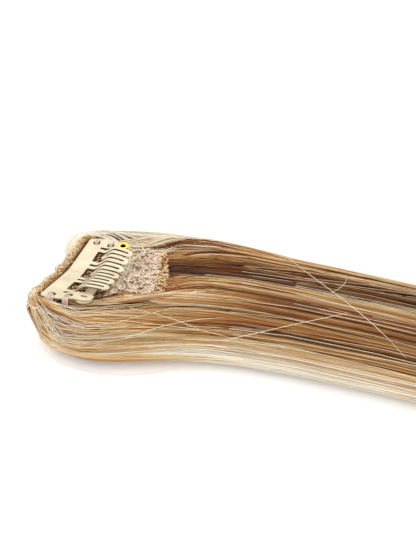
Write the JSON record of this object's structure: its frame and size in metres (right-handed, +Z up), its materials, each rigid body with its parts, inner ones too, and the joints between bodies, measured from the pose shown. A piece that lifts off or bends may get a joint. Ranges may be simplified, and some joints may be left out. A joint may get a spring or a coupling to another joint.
{
  "type": "clip in hair extension",
  "caption": "Lock of straight mixed blonde hair sewn to a lace backed double weft, with a six tooth snap clip, lying clip side up.",
  "frame": {"origin": "bottom centre of the bounding box, on the surface that the hair lies on", "axes": "+X along the hair from the clip to the tips, +Y along the clip towards its eyelet, +Z up"},
  "size_m": [0.363, 0.0672, 0.0138],
  "materials": {
    "clip_lacquer": "satin cream lacquer on spring steel",
    "eyelet_brass": "bright",
    "lace_net": "fine folded net",
    "weft_thread": "knotted thread and hair",
    "hair_blonde": "straight hair, blonde mixed with light brown"
  },
  "bodies": {
    "base": {"hair": "hair_blonde", "lace_base": "lace_net", "weft_back": "weft_thread", "weft_front": "weft_thread", "clip_arm_far": "clip_lacquer", "clip_frame": "clip_lacquer", "eyelet": "eyelet_brass"},
    "comb": {"clip_comb": "clip_lacquer"}
  },
  "joints": [
    {"name": "comb_snap", "type": "hinge", "parent": "base", "child": "comb", "pos_m": [-0.17328, 0.00441, 0.01324], "axis": [0, -1, 0], "range_deg": [0, 35]}
  ]
}
